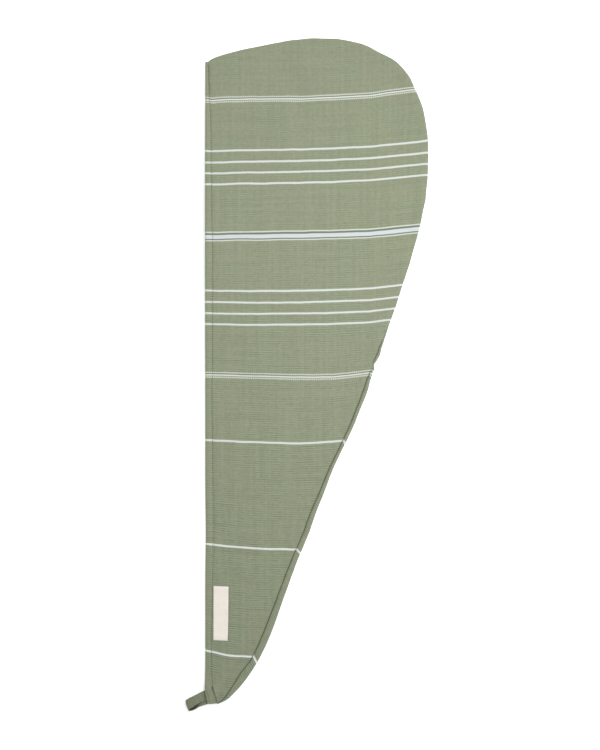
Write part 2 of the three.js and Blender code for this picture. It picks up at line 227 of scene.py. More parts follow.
class Stations:
    # the sections at many places at once, with points at a distance from the hem or the edge
    def __init__(self, places):
        now = sectionsAt(places)
        nudge = 0.02
        before = sectionsAt(np.maximum(places - nudge, 0))
        after = sectionsAt(np.minimum(places + nudge, len(sections) - 1))
        hem, edge = now[:, 0:2], now[:, 2:4]
        self.lift, self.crown = now[:, 5], now[:, 6]
        self.rim = now[:, 4] + np.interp(edge[:, 1], seamDrift[:, 0], seamDrift[:, 1])
        # the hem isn't quite straight
        bow, bowY, bowReach = straying["hemBow"]
        inset = bow * bell(hem[:, 1] - bowY, bowReach) \
            + straying["hemInset"] * smoothStep(hem[:, 1], *straying["tipEnds"])
        self.hem = hem + np.outer(inset, (1, 0))
        span = np.linalg.norm(edge - self.hem, axis=1)
        self.across = unit(edge - self.hem)
        along = unit(after[:, 2:4] - before[:, 2:4])
        square = np.stack([-along[:, 1], along[:, 0]], axis=1)
        turn = smoothStep(span, *narrow["squareSeam"])[:, None]
        self.inward = unit(mixed(-self.across, square, turn))
        # the seam puckers a little, so the outline is never quite smooth
        run = np.concatenate([[0], np.cumsum(np.linalg.norm(np.diff(edge, axis=0), axis=1))])
        pucker = sum(height * softNoise(run, 0, size, seed)
                     for height, size, seed in straying["puckers"])
        for x, y, reach, far in edgeBulges:
            pucker -= far * bell(np.hypot(edge[:, 0] - x, edge[:, 1] - y), reach)
        outward = straying["roll"] * smoothStep(span, *narrow["roll"]) \
            - pucker * smoothStep(span, *narrow["puckers"])
        self.edge = edge - self.inward * outward[:, None]
        seamZone = self.rim + allowanceZone
        self.hemScale = np.minimum(1 / self.across[:, 0], narrow["hemShare"] * span / towel["hemWidth"])
        self.edgeScale = np.minimum(1, narrow["seamShare"] * span / seamZone)
        self.fieldStart = self.fromHem(hemZone)
        self.fieldEnd = self.fromEdge(seamZone)

    def fromHem(self, distance):
        # the scale lets the hem fit in the narrow tip
        return self.hem + self.across * (distance * self.hemScale)[:, None]

    def fromEdge(self, distance):
        return self.edge + self.inward * (distance * self.edgeScale)[:, None]

    def between(self, share):
        return mixed(self.fieldStart, self.fieldEnd, share)


# mm from one ring of the mesh to the next, closer over the tip's few rows
ringGaps = {"tip": 0.9, "tipRows": 4, "panel": 2.1}


def panelPlaces():
    found = []
    for row, move in enumerate(np.diff(sections, axis=0)):
        reach = max(np.hypot(*move[2:4]), np.hypot(*move[0:2]))
        steps = math.ceil(reach / ringGaps["tip" if row < ringGaps["tipRows"] else "panel"])
        found += [row + i / steps for i in range(steps)]
    return np.array(found + [len(sections) - 1.0])


places = panelPlaces()
station = Stations(places)
print("panel rings", len(places))


def dentsAt(points):
    x, y = points[..., 0], points[..., 1]
    total = 0
    for cx, cy, length, width, turn, depth in dents:
        c, s = math.cos(math.radians(turn)), math.sin(math.radians(turn))
        along = ((x - cx) * c + (y - cy) * s) / length
        aside = ((y - cy) * c - (x - cx) * s) / width
        total = total + depth * np.exp(-(along ** 2 + aside ** 2))
    return total


def creasesAt(points):
    total = 0
    for line, width, depth in creases:
        away = np.inf
        for start, end in zip(np.array(line), np.array(line)[1:]):
            step = end - start
            share = np.clip(((points - start) @ step) / (step @ step), 0, 1)[..., None]
            away = np.minimum(away, np.linalg.norm(points - start - share * step, axis=-1))
        total = total + depth * bell(away, width)
    return total


def buttonRise(points):
    away = np.linalg.norm(points - np.array(towel["buttonSpot"]), axis=-1)
    return towel["buttonRise"] * (1 - smoothStep(away, towel["riseFlat"], towel["riseReach"]))


# where the hem's stitches lie, from the photograph: y and distance from the edge
hemLine = np.array([(0, 8.4), (16, 8.3), (35, 6.9), (67, 6.8), (120, 8.0), (190, 8.6), (243, 8.2),
                    (280, 7.7), (319, 7.2), (352, 7.8), (420, 7.7), (470, 8.1), (495, 7.8), (520, 7.0),
                    (545, 7.0), (571, 6.6), (596, 6.5), (621, 5.9), (636, 4.6), (650, 3.8), (680, 3.4)])


def hemLineAt(y):
    return np.interp(y, hemLine[:, 0], hemLine[:, 1])


# what washing and the thread do to the cloth, in mm, each layer by its height and size
wear = {
    "crumples": [(0.34, 46, 1.0, 0.7), (0.17, 19, 0.8, 1.0), (0.07, 8, 1.0, 1.0)],    # and its stretch
    "hemGrooves": [(0.42, 0.9), (0.36, 2.4)],
    "grooveUneven": (0.5, 9),
    "hemRipples": [(0.2, 5.2, 0), (0.26, 13, 9)],       # and where in the noise
    "hemReach": 5.5,
    "noseFall": (0.95, 2.8),                            # the turned edge falls away towards its fold
    "seamGathers": [(0.24, 7, 0), (0.3, 19, 5)],
    "seamReach": 11,
}


def cloth(points, seed):
    # broad swells and a fine crumple
    x, y = points[..., 0], points[..., 1]
    return sum(height * softNoise(x * across, y * along, size, seed + i)
               for i, (height, size, across, along) in enumerate(wear["crumples"]))


def hemPucker(points, distance, seed):
    # the thread draws the hem in: a groove along the stitches and short ripples either side
    y = points[..., 1]
    past = distance - hemLineAt(y)
    uneven, size = wear["grooveUneven"]
    deeper = 1 + uneven * softNoise(3, y, size, seed + 2)
    groove = deeper * sum(depth * bell(past, width) for depth, width in wear["hemGrooves"])
    ripples = sum(height * softNoise(start, y, size, seed + i)
                  for i, (height, size, start) in enumerate(wear["hemRipples"]))
    return ripples * bell(past + 1, wear["hemReach"]) - groove


def hemRoll(distance):
    fall, reach = wear["noseFall"]
    return fall * (1 - min(distance / reach, 1)) ** 2


def seamPucker(points, distance, seed):
    # gathers that run square to the seam and fade out into the panel
    x, y = points[..., 0], points[..., 1]
    fade = np.exp(-(np.maximum(distance, 0) / wear["seamReach"]) ** 1.5)
    run = np.arctan2(y - 330, x - 60) * 300 + y * 0.6     # roughly how far along the curved seam
    return fade * sum(height * softNoise(run, start, size, seed + i)
                      for i, (height, size, start) in enumerate(wear["seamGathers"]))


def frontHeight(share, points):
    # height of the smooth outer face, share of the way from the hem to the seam
    bow = math.sin(math.pi * share)
    hemTop = 2 * towel["hemThickness"] + towel["gap"] + station.lift
    level = mixed(hemTop, seamHeight, share) + station.crown * bow
    room = level - dentsAt(points) * min(1, 2 * bow) - doubledEdge
    return doubledEdge + np.hypot(room, buttonRise(points))


def frontHemUnder(distance):
    # height of the hem's underside
    risen = buttonRise(station.fromHem(distance)) if distance > towel["hemNose"] else 0
    return towel["hemThickness"] + towel["gap"] + np.hypot(station.lift, risen)


# where the woven lines lie: y of each row at the hem, then how far a line has risen at each x
driftX = np.array([0, 8, 16, 25, 37, 50, 75, 100, 133, 173, 200, 217, 233])
drift = np.array([
    [700, 0.3, -0.4, 0.2, 0.8, 0.8, 0.6, 0.3, 0.0, 0.8, 4.3, 8.2, 10.5, 12.8],
    [634, 0.4, -0.5, 0.3, 0.7, 0.4, 0.9, 0.9, 0.8, 2.3, 4.7, 8.9, 11.3, 13.7],
    [565, 0, -0.2, 0.0, 0.3, 0.5, 0.6, 0.9, 1.1, 2.3, 4.3, 7.2, 8.8, 10.6],
    [490, 0.1, 0.1, 0.2, 0.6, 0.8, 0.6, 1.2, 1.5, 1.9, 3.6, 6.3, 8.4, 10.0],
    [411, 0, -0.1, -0.3, -0.5, -0.7, -0.8, -0.7, -0.5, 0.3, 2.0, 5.2, 6.8, 8.5],
    [345, 0.3, 0.2, -0.2, -0.3, -0.4, -1.0, -1.6, -2.1, -2.1, 2.3, 5.0, 6.5, 8.0],
    [277, 0, -0.3, -0.6, -1.0, -1.5, -2.0, -2.8, -3.5, -1.6, 2.0, 4.0, 5.0, 6.0],
    [168, 0, -0.7, -1.5, -2.4, -3.4, -4.4, -5.4, -6.2, -7.0, -7.5, -8.0, -8.0, -8.0],
    [56, 0, -1.7, -3.4, -5.2, -6.2, -7.0, -7.5, -8.0, -8.5, -9.0, -9.0, -9.0, -9.0],
    [0, 0, -1.9, -3.8, -5.8, -6.8, -7.6, -8.1, -8.5, -9.0, -9.0, -9.0, -9.0, -9.0],
])[::-1]


def driftAt(x, y):
    stack = np.stack([np.interp(x, driftX, row[1:]) for row in drift])
    row = np.clip(np.searchsorted(drift[:, 0], y) - 1, 0, len(drift) - 2)
    low, high = (np.take_along_axis(stack, row[None] + i, 0)[0] for i in (0, 1))
    return mixed(low, high, smoothStep(y, drift[row, 0], drift[row + 1, 0]))


def wovenPlace(points):
    # cloth coordinates in metres: across the weave, and along it with the stripes level
    x, y = points[..., 0], points[..., 1]
    return np.stack([x, y - driftAt(x, y)], axis=-1) / 1000


def linked(name, data):
    made = bpy.data.objects.new(name, data)
    bpy.context.scene.collection.objects.link(made)
    return made


def meshFromRings(name, rings, uvs):
    # rings is (rings, points, 3) in pattern millimetres, uvs the same in cloth metres
    count, size = rings.shape[:2]
    i, j = np.meshgrid(np.arange(count - 1), np.arange(size), indexing="ij")
    nextJ = (j + 1) % size
    quads = np.stack([i * size + j, (i + 1) * size + j, (i + 1) * size + nextJ, i * size + nextJ], -1)
    faces = quads.reshape(-1, 4).tolist()
    faces += [list(range(size)), list(range((count - 1) * size, count * size))[::-1]]
    mesh = bpy.data.meshes.new(name)
    mesh.from_pydata(toScene(rings.reshape(-1, 3)).tolist(), [], faces)
    layer = mesh.uv_layers.new(name="cloth")
    corner = np.zeros(len(mesh.loops), int)
    mesh.loops.foreach_get("vertex_index", corner)
    layer.data.foreach_set("uv", uvs.reshape(-1, 2)[corner].ravel())
    mesh.shade_smooth()
    mesh.update()
    return linked(name, mesh)


def noseAt(angle):
    # the hem's rounded nose: distance from its edge, and height as a share of half its thickness
    a = math.radians(angle)
    return towel["hemNose"] * (1 - math.cos(a)), 1 + math.sin(a)


# the folded hem ends in a small step at the nape, below the curved seam
napeStep = {
    "rise": 1.5,
    "width": 3.0,
    "dip": 0.9,              # beside it
    "dipAt": 3.6,
    "dipReach": 1.2,
    "comesIn": (667, 672.5),
}


def stacked(columns):
    # columns of (points, height) for every ring, as one array of rings
    rings = np.stack([np.concatenate([p, np.broadcast_to(z, len(p))[:, None]], axis=1)
                      for p, z in columns], axis=1)
    x, y = rings[..., 0], rings[..., 1]
    step = napeStep["rise"] * np.clip(1 - x / napeStep["width"], 0, 1) \
        - napeStep["dip"] * bell(x - napeStep["dipAt"], napeStep["dipReach"])
    rings[..., 1] = y + step * smoothStep(y, *napeStep["comesIn"])
    return rings


# front panel
frontPanel = {
    "columns": 76,
    "underColumns": 30,
    "hemDistances": [*np.arange(1.3, 4.0, 0.5), *np.arange(4.2, 9.5, 0.4)],     # closer by the stitches
    "seamDistances": [8.6, 7.8, 7.0, 6.1, 5.2, 4.2, 3.4, 2.7, 2.1, 1.6, 1.1, 0.7, 0.4],
    "noseAngles": (-60, -30, 0, 30, 60),
    "noseWave": (0.1, 11, 3),       # height, size and seed
    "noseDrop": 0.1,                # past its nose the hem's top starts this much lower
    "hemPillow": (0.18, 7),         # height, and width of the first half of its swell
    "seamPillow": (0.22, 1.5, 4.5, 3),     # height, where it starts and is full, and how it ends
    "seamRound": (2.0, 3.4),        # the rounding down into the seam: height and width
    "lip": 0.9,                     # where there is no rim the front bulges out over the seam
    "lipRims": (1.2, 3.2),          # widths of the rim between which the lip fades out
    "lipWidth": 4.5,
    # in under the lip: past the seam, share of the lip, and depth
    "lipFold": [(0.1, 1.0, 2.3), (0.1, 0.5, 2.6), (0.3, 0.0, 2.7)],
    "insideHem": (5.0, 0.55),       # one more line inside: distance, and share of the way up
    "crumpleFrom": 6,               # it fades in over this much from the seam
    "thinnest": 0.25,               # no groove or crease goes right through to the other face
    "innerShare": 0.8,              # the inner face follows this much of the crumple
    "seed": 11,
}


def frontCloth():
    cfg, s = frontPanel, station
    seed = cfg["seed"]
    seam = s.rim + towel["gap"]
    lip = cfg["lip"] * (1 - smoothStep(s.rim, *cfg["lipRims"]))
    underNose, underLine = frontHemUnder(0), frontHemUnder(towel["hemWidth"])
    topNose, topLine = underNose + towel["hemThickness"] - cfg["noseDrop"], frontHeight(0, s.fieldStart)
    columns = []

    def add(points, z):
        columns.append((points, z))

    def addOuter(points, z, under, fromHem=farOff, fromSeam=farOff):
        lifted = z + cloth(points, seed) * smoothStep(fromSeam, 0, cfg["crumpleFrom"]) \
            + hemPucker(points, fromHem, seed + 5) + seamPucker(points, fromSeam, seed + 9) \
            - creasesAt(points)
        add(points, np.maximum(lifted, under + cfg["thinnest"]))

    def innerHeight(share, points):
        return frontHeight(share, points) - towel["cloth"] + cloth(points, seed) * cfg["innerShare"]

    # the folded nose of the hem
    waveHeight, waveSize, waveSeed = cfg["noseWave"]
    for angle in cfg["noseAngles"]:
        distance, up = noseAt(angle)
        points = s.fromHem(distance)
        wave = waveHeight * softNoise(0, points[:, 1], waveSize, waveSeed)
        add(points, underNose + (towel["hemThickness"] - hemRoll(distance)) * up / 2 + wave)
    # the hem, then the open cloth
    swell, swellWidth = cfg["hemPillow"]
    for distance in cfg["hemDistances"]:
        pillow = swell * math.sin(math.pi * min(distance / swellWidth, 1)) - hemRoll(distance)
        turnedUnder = mixed(underNose, underLine, min(distance / towel["hemWidth"], 1))
        under = mixed(turnedUnder, topLine - towel["cloth"],
                      max((distance - towel["hemWidth"]) / towel["hemStep"], 0))
        z = mixed(topNose, topLine, smoothStep(distance, towel["hemNose"], hemZone)) + pillow
        addOuter(s.fromHem(distance), z, under, fromHem=distance)
    span = np.linalg.norm(s.fieldEnd - s.fieldStart, axis=1)
    for share in np.linspace(0, 1, cfg["columns"] + 1):
        points = s.between(share)
        addOuter(points, frontHeight(share, points), innerHeight(share, points),
                 hemZone + share * span, allowanceZone + (1 - share) * span)
    # rounded down into the seam
    roundHeight, roundWidth = cfg["seamRound"]
    pad, padStart, padFull, padEnd = cfg["seamPillow"]
    for distance in cfg["seamDistances"]:
        bulge = lip * smoothStep(cfg["lipWidth"] - distance, 0, cfg["lipWidth"])
        rounded = math.sqrt(max(1 - (1 - min(distance / roundWidth, 1)) ** 2, 0))
        padded = pad * smoothStep(distance, padStart, padFull) \
            * smoothStep(allowanceZone - distance, 0, padEnd)
        z = mixed(seamHeight - roundHeight, seamHeight, rounded) + padded
        addOuter(s.fromEdge(seam + distance - bulge), z, seamHeight - doubledEdge, fromSeam=distance)
    # in under the lip, along the allowance, and back to the hem on the inside
    for past, lipShare, depth in cfg["lipFold"]:
        add(s.fromEdge(seam + past - lipShare * lip), seamHeight - depth)
    add(s.fromEdge(seam + towel["allowance"]), seamHeight - doubledEdge)
    add(s.fromEdge(seam + towel["allowance"] + towel["allowanceStep"]), seamHeight - towel["cloth"])
    for share in np.linspace(1, 0, cfg["underColumns"] + 1):
        points = s.between(share)
        add(points, innerHeight(share, points))
    add(s.fromHem(towel["hemWidth"]), underLine)
    distance, share = cfg["insideHem"]
    add(s.fromHem(distance), mixed(underNose, underLine, share))
    add(s.fromHem(towel["hemNose"]), underNose)
    rings = stacked(columns[::-1])
    return meshFromRings("front_panel_cloth", rings, wovenPlace(rings[..., :2]))


# back panel
backPanel = {
    "columns": 44,
    "innerColumns": 24,
    "hemDistances": [1.4, 2.4, 3.4, 4.4, 5.4, 6.2, 6.8, 7.3, 7.8, 8.3, 8.8, 9.3],
    "allowanceDistances": [10.4, 8.0, 6.0, 4.4, 3.2, 2.2, 1.5, 0.9],
    "noseAngles": (0, -40, -75),
    "groove": (0.35, 0.8),          # along the stitches: depth and width
    "belly": (0.5, 1.6),            # the rise off the table into the roll: height and width
    "swell": (0.12, 30),            # height and size
    "rimSteps": 12,
    "rimFlat": 0.55,                # 1 for a round roll, less for a flatter top
    "rimStart": 0.9,                # height at which the roll begins
    "rimBulge": 0.12,
    "rimWaves": [(0.22, 9, 4), (0.2, 27, 5)],      # height, size and seed
    "rolledRims": (1.2, 4),         # widths of the rim between which it comes to roll up fully
    "leastRoll": 0.15,
    "rollUptake": 1.5,              # the roll's height takes up this much more cloth than its width
    "seamAt": 0.1,                  # the seam, past the rim
    "pastRim": (2.0, 4.0, 2.0),     # how far past the rim the cloth has gone on the lines inside
    "insideHem": (5.0, 3.0),        # two more lines inside
    "insideNose": (0.3, 0.8),       # distance from the hem's edge, and share of its thickness
    "seed": 31,
}


def backCloth():
    cfg, s = backPanel, station
    seed = cfg["seed"]
    roll = mixed(cfg["leastRoll"], 1, smoothStep(s.rim, *cfg["rolledRims"]))
    columns, around = [], []

    def add(points, z, past=0.0):
        # past is how far round the edge the cloth has gone
        columns.append((points, z))
        around.append(np.broadcast_to(past, len(points)))

    # the hem on the table, and the open cloth
    for angle in cfg["noseAngles"]:
        distance, up = noseAt(angle)
        add(s.fromHem(distance), towel["hemThickness"] / 2 * up)
    depth, width = cfg["groove"]
    for distance in cfg["hemDistances"]:
        points = s.fromHem(distance)
        groove = depth * bell(distance - hemLineAt(points[:, 1]), width)
        add(points, groove + buttonRise(points) * smoothStep(distance, towel["hemNose"], hemZone))
    height, size = cfg["swell"]
    for share in np.linspace(0, 1, cfg["columns"] + 1):
        points = s.between(share)
        add(points, buttonRise(points) + height * (1 + softNoise(*points.T, size, seed)))
    belly, width = cfg["belly"]
    for distance in cfg["allowanceDistances"]:
        add(s.fromEdge(distance), belly * smoothStep(width - distance, 0, width))
    # round the curved edge: up the outside, over the top, and down into the seam
    up = mixed(doubledEdge, seamHeight, roll)
    waves = sum(height * softNoise(s.edge[:, 0] + s.edge[:, 1], 0, size, seed + more)
                for height, size, more in cfg["rimWaves"])
    for t in np.linspace(0, 1, cfg["rimSteps"] + 1):
        a = math.pi * t
        reach = s.rim / 2 * (1 - math.cos(a))
        crest = math.sin(a) ** cfg["rimFlat"] if 0 < t < 1 else 0
        base = mixed(cfg["rimStart"], doubledEdge + towel["gap"], t)
        z = base + (up - base) * crest + waves * crest * roll
        add(s.fromEdge(reach - cfg["rimBulge"] * math.sin(a)), z,
            reach + cfg["rollUptake"] * math.sin(a / 2))
    # the allowance, and back to the hem on the inside
    for inside, z, past in zip((cfg["seamAt"], towel["allowance"],
                                towel["allowance"] + towel["allowanceStep"]),
                               (doubledEdge, doubledEdge, towel["cloth"]), cfg["pastRim"]):
        add(s.fromEdge(s.rim + inside), z, s.rim + past)
    for share in np.linspace(1, 0, cfg["innerColumns"] + 1):
        points = s.between(share)
        add(points, buttonRise(points) + towel["cloth"])
    lineRise = buttonRise(s.fromHem(towel["hemWidth"]))
    for distance in (towel["hemWidth"], *cfg["insideHem"]):
        share = smoothStep(distance, towel["hemNose"], towel["hemWidth"])
        add(s.fromHem(distance), towel["hemThickness"] + lineRise * share)
    add(s.fromHem(towel["hemNose"]), towel["hemThickness"])
    distance, share = cfg["insideNose"]
    add(s.fromHem(distance), towel["hemThickness"] * share)
    rings = stacked(columns)
    # the stripes meet the front's at the seam, so the lower cloth drifts towards that
    flat = rings[..., :2]
    past = np.stack(around, axis=1)[..., None]
    seamPoint = s.fromEdge(s.rim)
    meet = 2 * s.rim * s.inward[:, 1] - driftAt(seamPoint[:, 0], seamPoint[:, 1])
    unrolled = np.where(past > 0, s.edge[:, None] - s.inward[:, None] * past, flat)
    share = np.clip(flat[..., 0] / np.maximum(s.edge[:, None, 0], 1), 0, 1)
    v = unrolled[..., 1] + meet[:, None] * smoothStep(share, 0, 1)
    return meshFromRings("back_panel_cloth", rings, np.stack([unrolled[..., 0], v], axis=-1) / 1000)


front = frontCloth()
back = backCloth()
print("panels made", len(front.data.polygons), len(back.data.polygons))

# loop at the tip: a strip folded in two, its lower run almost on edge beside the upper one
tailLoop = {
    "half": 5.3,
    "thickness": 1.5,
    "tip": np.array([2.6, 8.6]),
    "heading": np.array([-0.914, -0.407]),
    "stepsPerRow": 9,
    "pointsAcross": 17,
    "stitchGroove": (1.4, 0.22, 0.5),     # how far in from each side, depth and width
    "crumple": (0.13, 4.2, 71),           # height, size and seed
    "pressed": (0.55, 0.6),               # the hem's edge across the upper run: depth and width
    "roundness": 5,                       # of its long edges: 2 for an oval, more for a flatter strip
    "slot": (7.5, 16),                    # how far out of the hem the inner face is painted in shade, dark green
    "slotSide": (0.93, 0.78),             # and how far across
    "clothAcross": {-1: 60, 1: 100},      # where its inner and outer faces lie in the cloth's pattern
    "clothAlong": 200,
}


def loopRows():
    half, low = tailLoop["half"], towel["hemThickness"] + towel["gap"] + tailLoop["thickness"] / 2
    high = low + tailLoop["thickness"] + towel["gap"]
    return np.array([
        # the hood's side of the strip, then the tip's: out of the hem, aside, height; then its bow
        [-4.5, -3.2, low, -4.5, 6.8, low, 0],
        [-2, -2.9, low, -2, 7.4, low, 0],
        [1, -2.0, 3.3, 1, 8.2, 3.9, 0.2],
        [4.2, -0.6, 2.4, 4.0, 7.9, 6.0, 0.6],
        [8.3, 1.0, 1.3, 8.3, 7.0, 8.4, 1.1],
        [12.5, 1.8, 0.9, 12.5, 6.4, 9.4, 1.4],
        [16.8, 1.8, 0.9, 16.8, 7.0, 9.5, 1.4],
        [20.4, 0.4, 1.3, 20.4, 7.3, 8.4, 1.0],
        [22.9, -3.0, 4.4, 23.7, 6.5, 7.6, 0.3],
        [22.1, -5.5, 8.4, 22.9, 4.9, 8.7, 0.1],
        [19.0, -6.3, 10.0, 19.2, 4.4, 9.6, 0.1],
        [14, -6.5, 9.9, 14, 3.5, 9.3, 0.1],
        [9.5, -6.6, 9.2, 9.5, 3.0, 8.6, 0.1],
        [5.6, -6.7, 8.1, 6.3, 3.5, 7.9, 0],
        [3.4, -6.6, 7.1, 4.5, 3.9, 6.9, 0],
        [1.4, -6.3, high, 2.7, 4.1, high, 0],
        [-3, -5.8, high, -3, 4.7, high, 0],
        [-7, -half, high, -7, half, high, 0],
    ])


def curveThrough(points, stepsEach):
    # a centripetal curve through the points, in equal steps from each one to the next
    ends = np.concatenate([[2 * points[0] - points[1]], points, [2 * points[-1] - points[-2]]])
    knots = np.concatenate([[0], np.cumsum(np.linalg.norm(np.diff(ends, axis=0), axis=1) ** 0.5)])
    found = []
    for i in range(1, len(ends) - 2):
        p0, p1, p2, p3 = ends[i - 1:i + 3]
        t0, t1, t2, t3 = knots[i - 1:i + 3]
        for t in np.linspace(t1, t2, stepsEach, endpoint=False):
            a1 = mixed(p0, p1, (t - t0) / (t1 - t0))
            a2 = mixed(p1, p2, (t - t1) / (t2 - t1))
            a3 = mixed(p2, p3, (t - t2) / (t3 - t2))
            b1 = mixed(a1, a2, (t - t0) / (t2 - t0))
            b2 = mixed(a2, a3, (t - t1) / (t3 - t1))
            found.append(mixed(b1, b2, (t - t1) / (t2 - t1)))
    return np.array(found + [points[-1]])


def loopStrip():
    cfg, rows = tailLoop, loopRows()
    sideways = np.array([-cfg["heading"][1], cfg["heading"][0]])

    def placed(out, aside, z):
        feet = cfg["tip"] + out[:, None] * cfg["heading"] + aside[:, None] * sideways
        return np.concatenate([feet, z[:, None]], axis=1)

    hoodSide = curveThrough(placed(*rows[:, :3].T), cfg["stepsPerRow"])
    tipSide = curveThrough(placed(*rows[:, 3:6].T), cfg["stepsPerRow"])
    rowPlace = np.arange(len(hoodSide)) / cfg["stepsPerRow"]
    out, bow = (np.interp(rowPlace, np.arange(len(rows)), rows[:, column]) for column in (3, 6))
    paintedShade = smoothStep(out, *cfg["slot"])
    middle, across = (hoodSide + tipSide) / 2, tipSide - hoodSide
    upward = unit(np.cross(across, np.gradient(middle, axis=0)))
    far = np.concatenate([[0], np.cumsum(np.linalg.norm(np.diff(middle, axis=0), axis=1))])
    half, thick = cfg["half"], cfg["thickness"] / 2
    inset, grooveDepth, grooveWidth = cfg["stitchGroove"]
    crumple, size, seed = cfg["crumple"]
    press, pressWidth = cfg["pressed"]
    shares = np.sin(np.linspace(-math.pi / 2, math.pi / 2, cfg["pointsAcross"]))
    columns, us, shades = [], [], []
    for face in (-1, 1):
        for share in shares[1:] if face < 0 else shares[::-1][1:]:
            # round edges, a stitched groove inside each, and the strip's own small unevenness
            swell = math.sqrt(max(1 - abs(share) ** cfg["roundness"], 0))
            groove = grooveDepth * bell(abs(share) * half - half + inset, grooveWidth)
            uneven = crumple * softNoise(far, share * 4 + 3 * face, size, seed)
            line = middle + across * (share / 2) + upward * (bow * (1 - share ** 2))[:, None]
            pressed = press * bell(line[:, 0] + 0.1, pressWidth) * (far > far[-1] / 2) * (face > 0)
            height = face * (thick * swell - groove - pressed) + uneven * swell
            columns.append(line + upward * height[:, None])
            us.append(np.full(len(line), cfg["clothAcross"][face] + share * half))
            # the inner face inside the fold takes the painted shade
            shades.append(paintedShade * smoothStep(share, *cfg["slotSide"]) * (face < 0))
    rings = np.stack(columns, axis=1)
    v = np.broadcast_to((cfg["clothAlong"] + far)[:, None], rings.shape[:2])
    piece = meshFromRings("tail_loop_strip", rings, np.stack([np.stack(us, axis=1), v], axis=-1) / 1000)
    shade = piece.data.attributes.new("shade", "FLOAT", "POINT")
    shade.data.foreach_set("value", np.stack(shades, axis=1).ravel())
    return piece, far[-1]


loop, loopLength = loopStrip()
print("loop made, strip length mm", round(loopLength, 1))


# the surface of a panel, for what lies on it
def treeOf(piece):
    return BVHTree.FromPolygons([v.co for v in piece.data.vertices],
                                [tuple(f.vertices) for f in piece.data.polygons])


def faceOf(tree, x, y, down=-1):
    # height in mm of the cloth where a line down (or up) first meets it, and the way it faces
    spot = toScene(np.array([x, y, 0.0]))
    start = Vector((spot[0], spot[1], -0.1 * down))
    hit, normal, face, far = tree.ray_cast(start, Vector((0, 0, down)))
    if hit is None:
        return None, None
    return hit.z * 1000, normal if normal.z * down < 0 else -normal


frontTree, backTree = treeOf(front), treeOf(back)


# label: a bare folded tape caught in the hem's stitches
labelTape = {
    "width": 16.3,
    "inset": 0.4,               # from the hem's edge
    "lower": 66.9,
    "upper": 123.8,
    "lean": 1.2,                # the free side leans in by this much at the lower end
    "slant": 0.3,               # and lies this much lower than the stitched one
    "thickness": 0.45,
    "proud": (0.27, 0.7),       # over the cloth by the stitches, and how much more at the free side
    "wave": (0.25, 0.21),       # of the free side: height, and radians for each mm
    "sway": (0.2, 4.5),         # of its outline: how far, and radians from end to end
    "smoothings": 6,
    "columns": 14,
    "rows": 46,
    "turnedEnd": (6.0, 0.7),    # each end is turned under: length, and half its soft step
    "doubled": 0.7,             # and thicker there by this share
    "endRound": (0.3, 1.2),     # height and length of the rounding
}


def labelPiece():
    cfg = labelTape
    ys = np.linspace(cfg["lower"], cfg["upper"], cfg["rows"] + 1)
    shares = np.linspace(0, 1, cfg["columns"] + 1)
    grid = np.zeros((len(ys), len(shares), 3))
    near, more = cfg["proud"]
    waveHeight, waveTurn = cfg["wave"]
    sway, swayTurn = cfg["sway"]
    for i, y in enumerate(ys):
        low = (y - cfg["lower"]) / (cfg["upper"] - cfg["lower"])
        width = cfg["width"] - cfg["lean"] * (1 - low)
        for j, share in enumerate(shares):
            x = towel["hemWidth"] + cfg["inset"] + width * share
            slanted = y - cfg["slant"] * share
            z = faceOf(frontTree, x, slanted)[0]
            raised = near + (more + waveHeight * math.sin(y * waveTurn)) * share ** 2
            grid[i, j] = (x + sway * share * math.sin(low * swayTurn), slanted, z + raised)
    # smooth the dips of the cloth out of the stiffer tape
    z = grid[..., 2]
    for turn in range(cfg["smoothings"]):
        z[1:-1] = (z[:-2] + 2 * z[1:-1] + z[2:]) / 4
        z[:, 1:-1] = (z[:, :-2] + 2 * z[:, 1:-1] + z[:, 2:]) / 4
    fromEnd = np.minimum(ys - cfg["lower"], cfg["upper"] - ys)
    turned, soft = cfg["turnedEnd"]
    double = smoothStep(fromEnd, turned + soft, turned - soft)
    thick = cfg["thickness"] * (1 + cfg["doubled"] * double)
    rounding, reach = cfg["endRound"]
    top = grid[:, ::-1].copy()
    top[..., 2] += (thick - rounding * (1 - smoothStep(fromEnd, 0, reach)))[:, None]
    rings = np.concatenate([grid, top], axis=1)
    return meshFromRings("label_tape", rings, rings[..., :2] / 1000)


label = labelPiece()
print("label made")

# sewing thread: one short proud stitch after another
stitching = {
    "pitch": 2.6,               # stitch length with its hole
    "length": 1.75,
    "radius": 0.26,
    "wide": 1.15,               # pressed flat a little
    "taper": 0.45,              # thinner by this share at its ends
    "proud": (0.16, 0.34),      # its middle over the cloth, and how much lower its ends go
    "sides": 6,
    "rings": 7,
    "wander": (0.12, 17, 41),   # of the row: how far, over what length, and seed
    "row": (17.5, 671),         # y where it starts and ends
    "corner": (3.4, 17),        # and of the stitches that run off along the tip's crease
}


